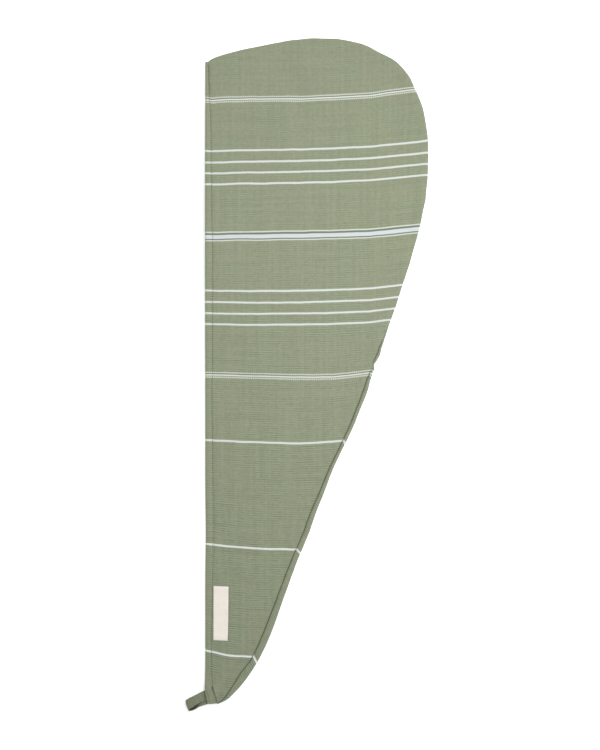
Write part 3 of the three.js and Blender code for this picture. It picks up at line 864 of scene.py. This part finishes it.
def stitchRow(name, spots, tree, down, plump=1.0):
    # spots are pattern points along the row, with a stitch from each towards the next
    cfg, sides = stitching, stitching["sides"]
    proud, sink = cfg["proud"]
    turns = np.linspace(0, 2 * math.pi, sides, endpoint=False)
    verts, faces = [], []
    for spot, nextSpot in zip(spots, spots[1:]):
        x, y = (spot + nextSpot) / 2
        z, normal = faceOf(tree, x, y, down)
        if z is None:
            continue
        side = normal.cross(Vector((*(nextSpot - spot), 0)).normalized()).normalized()
        ahead = side.cross(normal).normalized()
        start = len(verts)
        for t in np.linspace(-1, 1, cfg["rings"]):
            thick = cfg["radius"] * plump * (1 - cfg["taper"] * t ** 4)
            centre = Vector((x, y, z)) + ahead * (t * cfg["length"] / 2)
            centre += normal * (proud - sink * t * t)
            verts += [centre + side * (thick * cfg["wide"] * math.cos(a)) + normal * (thick * math.sin(a))
                      for a in turns]
        for ring in range(start, len(verts) - sides, sides):
            for k in range(sides):
                a, b = ring + k, ring + (k + 1) % sides
                faces.append((a, b, b + sides, a + sides))
        faces.append(tuple(range(start + sides - 1, start - 1, -1)))
        faces.append(tuple(range(len(verts) - sides, len(verts))))
    mesh = bpy.data.meshes.new(name)
    mesh.from_pydata(toScene(np.array(verts)).tolist(), [], faces)
    mesh.shade_smooth()
    return linked(name, mesh)


def hemSpots():
    far, size, seed = stitching["wander"]
    ys = np.arange(*stitching["row"], stitching["pitch"])
    row = np.stack([hemLineAt(ys) + far * softNoise(0, ys, size, seed), ys], axis=1)
    ys = np.arange(*stitching["corner"], stitching["pitch"])
    creaseX, creaseY = np.array(tipCrease)[::-1].T
    corner = np.stack([np.interp(ys, creaseY, creaseX), ys], axis=1)
    return np.concatenate([corner, row])


frontStitches = stitchRow("front_hem_stitches", hemSpots(), frontTree, -1)
tipStitches = 7     # caught in the loop's ends, so that the underside hasn't got them
backStitches = stitchRow("back_hem_stitches", hemSpots()[tipStitches:], backTree, 1, 0.7)
print("stitches made")

# button under the nape: moulded, with a dished face and four holes
napeButton = {
    "radius": 7.5,
    "thickness": 2.0,
    "dish": 0.5,
    "rim": 1.6,
    "holeRadius": 0.9,
    "holeSpacing": 3.2,
    "holeDepth": 1.6,
    "neckRadius": 2.2,
    "neckHeight": 0.9,
    "steps": 56,
}


def buttonPiece():
    cfg = napeButton
    radius, thick = cfg["radius"], cfg["thickness"]
    top = thick + cfg["neckHeight"]
    dishEdge = radius - cfg["rim"] - 0.7
    # half its outline, face down on the table, from the middle of the face to the top of the neck
    profile = [(0.0, cfg["dish"]), (dishEdge, cfg["dish"]), (dishEdge + 0.3, cfg["dish"] - 0.1),
               (dishEdge + 0.6, 0.1), (dishEdge + 0.9, 0.0), (radius - 0.6, 0.0), (radius - 0.2, 0.15),
               (radius, 0.6), (radius, thick - 0.6), (radius - 0.25, thick - 0.2), (radius - 0.8, thick),
               (cfg["neckRadius"], thick), (cfg["neckRadius"], top), (0.0, top)]
    work = bmesh.new()
    line = [work.verts.new((r / 1000, 0, z / 1000)) for r, z in profile]
    edges = [work.edges.new(pair) for pair in zip(line, line[1:])]
    bmesh.ops.spin(work, geom=line + edges, axis=(0, 0, 1), cent=(0, 0, 0), steps=cfg["steps"],
                   angle=2 * math.pi)
    bmesh.ops.remove_doubles(work, verts=work.verts, dist=1e-6)
    bmesh.ops.recalc_face_normals(work, faces=work.faces)
    mesh = bpy.data.meshes.new("nape_button_moulded")
    work.to_mesh(mesh)
    work.free()
    piece = linked("nape_button_moulded", mesh)
    # four blind holes cut up into the face, by drills that stand out of it
    drill = bmesh.new()
    hole, away, depth = (cfg[key] / 1000 for key in ("holeRadius", "holeSpacing", "holeDepth"))
    for sx, sy in ((-1, -1), (-1, 1), (1, -1), (1, 1)):
        made = bmesh.ops.create_cone(drill, cap_ends=True, segments=20, depth=depth * 1.5,
                                     radius1=hole, radius2=hole)
        bmesh.ops.translate(drill, verts=made["verts"], vec=(sx * away / 2, sy * away / 2, depth / 4))
    drillMesh = bpy.data.meshes.new("drill")
    drill.to_mesh(drillMesh)
    drill.free()
    cutter = linked("drill", drillMesh)
    cut = piece.modifiers.new("holes", "BOOLEAN")
    cut.object = cutter
    cut.operation = "DIFFERENCE"
    cut.solver = "EXACT"
    bpy.context.view_layer.update()
    shaped = bpy.data.meshes.new_from_object(piece.evaluated_get(bpy.context.evaluated_depsgraph_get()))
    piece.modifiers.clear()
    piece.data = shaped
    bpy.data.objects.remove(cutter)
    shaped.transform(Matrix.Translation(Vector(toScene(np.array([*towel["buttonSpot"], 0.0])))))
    shaped.shade_smooth()
    shaped.set_sharp_from_angle(angle=math.radians(40))
    return piece


button = buttonPiece()
print("button made")


# materials
def linear(hexColour, tint=1.0):
    # sRGB hex to the linear colour that the shader wants
    parts = [int(hexColour[i:i + 2], 16) / 255 for i in (1, 3, 5)]
    return [tint * (p / 12.92 if p <= 0.04045 else ((p + 0.055) / 1.055) ** 2.4) for p in parts] + [1]


def perMetre(*sizes):
    # sizes in mm as the scale of a pattern in metres
    scales = tuple(1000 / size for size in sizes)
    return scales[0] if len(sizes) == 1 else (*scales, 1.0)


def addNode(tree, kind, settings=None, inputs=None):
    # an input may be a number, another node's output, or another node for its first output
    node = tree.nodes.new("ShaderNode" + kind)
    for name, value in (settings or {}).items():
        setattr(node, name, value)
    for name, value in (inputs or {}).items():
        if isinstance(value, bpy.types.Node):
            value = next(output for output in value.outputs if output.enabled)
        if isinstance(value, bpy.types.NodeSocket):
            tree.links.new(value, node.inputs[name])
        else:
            node.inputs[name].default_value = value
    return node


def newMaterial(name, surface, *options):
    # surface adds its nodes to the tree and returns the shader's inputs
    made = bpy.data.materials.new(name)
    made.use_nodes = True
    made.node_tree.nodes.clear()
    shader = addNode(made.node_tree, "BsdfPrincipled", {}, surface(made.node_tree, *options))
    addNode(made.node_tree, "OutputMaterial", {}, {"Surface": shader})
    return made


# settings that come up again and again
inPlane, ofColour = {"noise_dimensions": "2D"}, {"data_type": "RGBA"}
times, plus, timesPlus = ({"operation": name} for name in ("MULTIPLY", "ADD", "MULTIPLY_ADD"))

# woven lines, each (how far from the group's middle in mm, width, colour, how solid); the ones at
# 0.9 are dotted
white, chalk, coolWhite = "#ccd2ce", "#c7ccc1", "#c6ccd3"
fullWhite = "#dbe1dd"        # brighter, for the lines down the tail, to make up for the light falling off there
shade, bandShade = "#555e4d", "#6a7262"
triple = [(2.6, 1.6, chalk, 0.9), (1.3, 0.9, shade, 0.7), (0.0, 1.7, white, 1.0),
          (-1.15, 0.6, shade, 0.4), (-2.15, 1.6, chalk, 0.9)]
stripeGroups = {
    "crownTriple": (633.1, triple),
    "upperFour": (563.0, [(offset, 2.1, white, 1.0) for offset in (16.5, 4.6, -6.8, -18.4)]),
    "middleBand": (489.3, [(4.8, 1.5, chalk, 1.0), (3.1, 1.5, bandShade, 1.0),
                           (0.0, 4.1, coolWhite, 1.0), (-2.75, 1.0, bandShade, 1.0),
                           (-3.9, 1.4, chalk, 1.0)]),
    "lowerFour": (416.0, [(offset, 2.1, white, 1.0) for offset in (17.4, 5.5, -6.1, -17.6)]),
    "waistTriple": (345.0, triple),
    "tailUpper": (276.8, [(0.0, 2.3, white, 1.0)]),
    "tailMiddle": (168.0, [(0.0, 2.1, fullWhite, 1.0)]),
    "tailLower": (56.4, [(0.0, 2.25, fullWhite, 1.0)]),
}
stripeSoft = 0.22            # half the width over which a line's edge fades, in mm

flatWeave = {
    "yarn": "#8f967e",          # washed sage
    "yarnInShade": "#788069",      # the same yarn down between the threads, painted in shade
    "worn": "#898c75",          # warmer where it has been washed and rubbed
    # painted shade for the strip's inner face inside its fold
    "paintedFoldShade": "#343a2e",
    # sizes in mm
    "ribPitch": 2.3,            # the real picks, about 0.75 apart, are too fine to show: ribs of three
    "warpPitch": 2.1,           # likewise, pairs of warp ends
    "comeAndGo": (11.765, 6.897),      # patches where the ribs or the warp show
    "wander": (22.22, 1.1),     # of the yarns: over what length, and how far
    "dotPitch": 2.2,            # the dotted lines show a white float this often
    "patch": 41.67,             # washed paler and darker
    "ribStreak": (83.33, 3.03),        # thicker and thinner yarns, along the ribs and down the warp
    "warpStreak": (3.846, 111.1),
    "slub": 3.846,
    "bump": 0.22,
    # how much the ribs show, less from the tail at y 200 up to the crown, which is washed smoother
    "ribMost": {"From Min": 200.0, "From Max": 640.0, "To Min": 0.85, "To Max": 0.3},
}


def sineWave(tree, place, pitch):
    # from -1 to 1, with one wave each pitch
    turns = addNode(tree, "Math", times, {0: place, 1: 2 * math.pi / pitch})
    return addNode(tree, "Math", {"operation": "SINE"}, {0: turns})


def weaveHeight(tree, across, along, ribPitch, warpPitch, ribMost=0.52):
    # crosswise ribs that come and go in patches, and the warp where they don't show
    spot = addNode(tree, "CombineXYZ", {}, {0: across, 1: along})
    patchWide, patchLong = flatWeave["comeAndGo"]
    stretch = addNode(tree, "Mapping", {}, {"Vector": spot, "Scale": (1 / patchWide, 1 / patchLong, 1.0)})
    comeAndGo = addNode(tree, "TexNoise", inPlane,
                        {"Vector": stretch, "Scale": 1.0, "Detail": 2.5, "Roughness": 0.6})
    ribStrength = addNode(tree, "MapRange", {}, {"Value": comeAndGo, "From Min": 0.43, "From Max": 0.66,
                                                 "To Min": 0.04, "To Max": ribMost})
    warpStrength = addNode(tree, "MapRange", {}, {"Value": comeAndGo, "From Min": 0.34, "From Max": 0.56,
                                                  "To Min": 0.1, "To Max": 0.02})
    height = 0.5     # of the cloth where neither shows
    for place, pitch, strength in ((along, ribPitch, ribStrength), (across, warpPitch, warpStrength)):
        height = addNode(tree, "Math", timesPlus,
                         {0: sineWave(tree, place, pitch), 1: strength, 2: height})
    return height


def clothPlace(tree):
    # cloth coordinates in metres, and in millimetres with the yarns wandering a little
    uv = addNode(tree, "UVMap", {"uv_map": "cloth"})
    scaled = addNode(tree, "VectorMath", {"operation": "SCALE"}, {0: uv, "Scale": 1000.0})
    length, far = flatWeave["wander"]
    drift = addNode(tree, "TexNoise", inPlane,
                    {"Vector": uv, "Scale": perMetre(length), "Detail": 2.0, "Roughness": 0.5})
    middled = addNode(tree, "VectorMath", {"operation": "SUBTRACT"},
                      {0: drift.outputs["Color"], 1: (0.5, 0.5, 0.5)})
    wander = addNode(tree, "VectorMath", {"operation": "SCALE"}, {0: middled, "Scale": far})
    moved = addNode(tree, "VectorMath", plus, {0: scaled, 1: wander})
    parts = addNode(tree, "SeparateXYZ", {}, {0: moved})
    return uv, parts.outputs[0], parts.outputs[1]


def washedYarn(tree, uv, height, tint):
    # the colour of the plain cloth
    yarn, deep, worn = (linear(flatWeave[name], tint) for name in ("yarn", "yarnInShade", "worn"))
    # where the weave lies low the yarn is painted darker, as shade
    body = addNode(tree, "Mix", ofColour, {"Factor": height, "A": deep, "B": yarn})
    # washing leaves broad paler and darker patches
    patches = addNode(tree, "TexNoise", inPlane, {"Vector": uv, "Scale": perMetre(flatWeave["patch"]),
                                                  "Detail": 3.0, "Roughness": 0.55})
    patchShare = addNode(tree, "MapRange", {"interpolation_type": "SMOOTHSTEP"},
                         {"Value": patches, "From Min": 0.38, "From Max": 0.68, "To Max": 0.5})
    washed = addNode(tree, "Mix", ofColour, {"Factor": patchShare, "A": body, "B": worn})
    # slubs are a fine mottle, and uneven yarns show as faint streaks both ways
    slubs = addNode(tree, "TexNoise", inPlane, {"Vector": uv, "Scale": perMetre(flatWeave["slub"]),
                                                "Detail": 2.0, "Roughness": 0.7})
    streaks = addNode(tree, "Math", timesPlus, {0: slubs, 1: 1.5, 2: -0.75})
    for name in ("ribStreak", "warpStreak"):
        stretch = addNode(tree, "Mapping", {}, {"Vector": uv, "Scale": perMetre(*flatWeave[name])})
        streak = addNode(tree, "TexNoise", inPlane, {"Vector": stretch, "Scale": 1.0, "Detail": 2.0})
        streaks = addNode(tree, "Math", plus, {0: streaks, 1: streak})
    gain = addNode(tree, "MapRange", {}, {"Value": streaks, "From Min": 0.6, "From Max": 1.4,
                                          "To Min": 0.93, "To Max": 1.07})
    return addNode(tree, "VectorMath", {"operation": "SCALE"}, {0: washed, "Scale": gain})


def stripeStops(lines):
    # how far a group's colour ramp reaches from its middle, and the ramp's stops
    reach = max(abs(offset) + width for offset, width, yarnColour, solid in lines) + 1.5
    edges = [[offset + side * width / 2 + fade for side in (-1, 1) for fade in (-stripeSoft, stripeSoft)]
             for offset, width, yarnColour, solid in lines]
    for lower, upper in zip(edges, edges[1:]):
        if lower[3] > upper[0]:     # neighbours meet half way
            lower[3] = upper[0] = (lower[3] + upper[0]) / 2
    return reach, [((edge + reach) / (2 * reach), linear(yarnColour)[:3] + [cover])
                   for (offset, width, yarnColour, solid), line in zip(lines, edges)
                   for edge, cover in zip(line, (0, solid, solid, 0))]


def wovenStripes(tree, colour, across, along, height):
    # white yarn in place of the green, and dotted where it floats over the warp only now and then
    wave = sineWave(tree, across, flatWeave["dotPitch"])
    dots = addNode(tree, "Math", timesPlus, {0: wave, 1: 0.35, 2: 0.78})
    # the green warp still shows between the white floats
    speckle = addNode(tree, "MapRange", {}, {"Value": height, "To Min": 0.86, "To Max": 1.0})
    for groupName, (middle, lines) in stripeGroups.items():
        reach, stops = stripeStops(sorted(lines))
        window = addNode(tree, "MapRange", {},
                         {"Value": along, "From Min": middle - reach, "From Max": middle + reach})
        ramp = addNode(tree, "ValToRGB", {"label": groupName}, {"Fac": window})
        steps = ramp.color_ramp.elements
        steps.remove(steps[1])
        steps[0].position, steps[0].color = stops[0]
        for spot, tone in stops[1:]:
            steps.new(spot).color = tone
        cover = ramp.outputs["Alpha"]
        solidity = addNode(tree, "MapRange", {}, {"Value": cover, "From Min": 0.91, "From Max": 0.98})
        floats = addNode(tree, "Mix", {"data_type": "FLOAT"}, {"Factor": solidity, "A": dots, "B": 1.0})
        covered = addNode(tree, "Math", times, {0: cover, 1: floats})
        speckled = addNode(tree, "Math", times, {0: covered, 1: speckle})
        colour = addNode(tree, "Mix", ofColour,
                         {"Factor": speckled, "A": colour, "B": ramp.outputs["Color"]})
    return colour


def flatWovenCotton(tree, striped, tint=1.0):
    # flat-woven cotton, yarn-dyed and washed soft: matt, with crosswise ribs and a faint bloom of fibre
    uv, across, along = clothPlace(tree)
    ribMost = addNode(tree, "MapRange", {}, {"Value": along, **flatWeave["ribMost"]})
    height = weaveHeight(tree, across, along, flatWeave["ribPitch"], flatWeave["warpPitch"], ribMost)
    colour = washedYarn(tree, uv, height, tint)
    if striped:
        colour = wovenStripes(tree, colour, across, along, height)
    else:
        # inside its fold the strip's inner face is painted dark green, as painted shade
        inside = addNode(tree, "Attribute", {"attribute_name": "shade"})
        colour = addNode(tree, "Mix", ofColour, {"Factor": inside.outputs["Fac"], "A": colour,
                                                 "B": linear(flatWeave["paintedFoldShade"])})
    bump = addNode(tree, "Bump", {}, {"Height": height, "Strength": 0.9,
                                      "Distance": flatWeave["bump"] / 1000})
    return {"Base Color": colour, "Roughness": 0.92, "IOR": 1.5, "Specular IOR Level": 0.25,
            "Sheen Weight": 0.12, "Sheen Roughness": 0.5, "Normal": bump}


labelWeave = {
    "thread": "#f8f1e9",
    # the thread where it lies low, painted in shade
    "threadInShade": "#e5ddd2",
    # sizes in mm
    "weft": 0.9,            # the real threads are 0.3, too fine to show
    "warp": 0.8,
    "fibre": 7.143,
    "bump": 0.08,
}


def wovenLabelTape(tree):
    # woven cotton label tape, unbleached: smooth close threads and a slightly firm, matt face
    uv, across, along = clothPlace(tree)
    height = weaveHeight(tree, across, along, labelWeave["weft"], labelWeave["warp"])
    fibre = addNode(tree, "TexNoise", inPlane,
                    {"Vector": uv, "Scale": perMetre(labelWeave["fibre"]), "Detail": 3.0})
    # the threads are painted darker where they lie low, as shade, and mottled by the fibre at random
    share = addNode(tree, "Math", times, {0: height, 1: fibre})
    colour = addNode(tree, "Mix", ofColour, {"Factor": share, "A": linear(labelWeave["threadInShade"]),
                                             "B": linear(labelWeave["thread"])})
    bump = addNode(tree, "Bump", {}, {"Height": height, "Strength": 0.6,
                                      "Distance": labelWeave["bump"] / 1000})
    return {"Base Color": colour, "Roughness": 0.85, "IOR": 1.5, "Specular IOR Level": 0.3,
            "Normal": bump}


sewingThread = {
    "ply": "#59644a",
    # the ply in the twist's grooves, painted in shade
    "plyInShade": "#3f4a35",
    # sizes in mm
    "twist": 0.698,
    "bump": 0.05,
}


def spunPolyesterThread(tree):
    # spun polyester sewing thread: a shade deeper than the cloth, with a low shine on its twist
    place = addNode(tree, "TexCoord")
    # a wave across the diagonal goes through ten radians for each unit
    scale = 2 * math.pi / 10 * perMetre(sewingThread["twist"])
    twist = addNode(tree, "TexWave", {"wave_type": "BANDS", "bands_direction": "DIAGONAL"},
                    {"Vector": place.outputs["Object"], "Scale": scale, "Distortion": 1.0}).outputs["Fac"]
    # the twist's grooves are painted darker, as shade
    colour = addNode(tree, "Mix", ofColour, {"Factor": twist, "A": linear(sewingThread["plyInShade"]),
                                             "B": linear(sewingThread["ply"])})
    bump = addNode(tree, "Bump", {}, {"Height": twist, "Strength": 0.4,
                                      "Distance": sewingThread["bump"] / 1000})
    return {"Base Color": colour, "Roughness": 0.6, "IOR": 1.53, "Normal": bump}


buttonUrea = {
    "pale": "#88936f",
    "deep": "#74805f",
    # sizes in mm
    "cloud": 4.167,
    "scratch": 0.667,
}


def mouldedUrea(tree):
    # urea button, moulded and tumbled: an even soft shine with faint cloudy mottling
    place = addNode(tree, "TexCoord").outputs["Object"]
    cloud, scratch = (addNode(tree, "TexNoise", {}, {"Vector": place, "Detail": detail,
                                                     "Scale": perMetre(buttonUrea[size])})
                      for size, detail in (("cloud", 4.0), ("scratch", 2.0)))
    colour = addNode(tree, "Mix", ofColour, {"Factor": cloud, "A": linear(buttonUrea["deep"]),
                                             "B": linear(buttonUrea["pale"])})
    rough = addNode(tree, "MapRange", {}, {"Value": scratch, "To Min": 0.3, "To Max": 0.5})
    return {"Base Color": colour, "Roughness": rough, "IOR": 1.54}


opalTable = {
    "white": "#f6f6f6",
    "glow": 0.45,
    "half": 12,             # metres
    "top": -0.0002,         # a little below the towel
}


def opalAcrylic(tree):
    # opal acrylic table, lit softly from below: the white stays even right up to the towel
    return {"Base Color": linear(opalTable["white"]), "Roughness": 0.9, "Specular IOR Level": 0.1,
            "Emission Color": (1, 1, 1, 1), "Emission Strength": opalTable["glow"]}


stripedCotton = newMaterial("flatWovenStripedCotton", flatWovenCotton, True)
plainCotton = newMaterial("flatWovenPlainCotton", flatWovenCotton, False, 0.82)
thread = newMaterial("spunPolyesterThread", spunPolyesterThread)
for piece, finish in ((front, stripedCotton), (back, stripedCotton), (loop, plainCotton),
                      (label, newMaterial("wovenLabelTape", wovenLabelTape)),
                      (frontStitches, thread), (backStitches, thread),
                      (button, newMaterial("mouldedUrea", mouldedUrea))):
    piece.data.materials.clear()
    piece.data.materials.append(finish)
print("materials on")

# each piece stands for its solid, which is hidden
for piece, node, slot in ((front, "front_panel", "towel_cotton"), (back, "back_panel", "towel_cotton"),
                          (loop, "tail_loop", "loop_cotton"), (label, "label", "label_tape"),
                          (button, "nape_button", "button_plastic")):
    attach(piece, "root")
    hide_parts(node)
for piece in (frontStitches, backStitches):
    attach(piece, "root")

# floor, light and camera
photo = {
    "scale": 1.05,              # mm of towel for each pixel
    "leftEdge": 205.0,          # pixel column of the hem
    "lowestRow": 703.7,         # pixel row of the tip
    "size": (600, 750),
    "lens": 85.0,
    "sensor": 36.0,
    "level": 4.0,               # height in mm at which the scale holds
}
floorMesh = bpy.data.meshes.new("floor")
floorMesh.from_pydata([(x * opalTable["half"], y * opalTable["half"], opalTable["top"])
                       for x, y in ((-1, -1), (1, -1), (1, 1), (-1, 1))], [], [(0, 1, 2, 3)])
floorMesh.materials.append(newMaterial("opalAcrylic", opalAcrylic))
floor = linked("floor", floorMesh)

centreX = (photo["size"][0] / 2 - photo["leftEdge"]) * photo["scale"]
centreY = (photo["lowestRow"] - photo["size"][1] / 2) * photo["scale"]
distance = photo["size"][1] * photo["scale"] * photo["lens"] / photo["sensor"]
cameraData = bpy.data.cameras.new("camera")
cameraData.lens = photo["lens"]
cameraData.sensor_width = photo["sensor"]
cameraData.sensor_fit = "AUTO"
cameraData.clip_end = 20
camera = linked("camera", cameraData)
camera.location = toScene(np.array([centreX, centreY, distance + photo["level"]]))
bpy.context.scene.camera = camera

softbox = {
    "spot": (0.45, 0.42, 1.5),     # metres: beyond the seam, towards the crown
    "aim": (0.02, 0.09, 0.0),      # the middle of the hood, so that the tail falls off a little
    "size": 0.8,
    "spread": 62,                  # degrees, as a softbox with a grid gives
    "watts": 3.38,
    "roomLight": 0.5,              # white from all round
}
softboxData = bpy.data.lights.new("softbox", "AREA")
softboxData.shape = "SQUARE"
softboxData.size = softbox["size"]
softboxData.spread = math.radians(softbox["spread"])
softboxData.energy = softbox["watts"]
lamp = linked("softbox", softboxData)
lamp.location = softbox["spot"]
towards = Vector(softbox["aim"]) - Vector(softbox["spot"])
lamp.rotation_euler = towards.to_track_quat("-Z", "Y").to_euler()
world = bpy.data.worlds.new("studio")
world.use_nodes = True
background = world.node_tree.nodes["Background"]
background.inputs["Color"].default_value = (1, 1, 1, 1)
background.inputs["Strength"].default_value = softbox["roomLight"]
bpy.context.scene.world = world
bpy.context.scene.view_settings.view_transform = "Standard"
print("stage set")
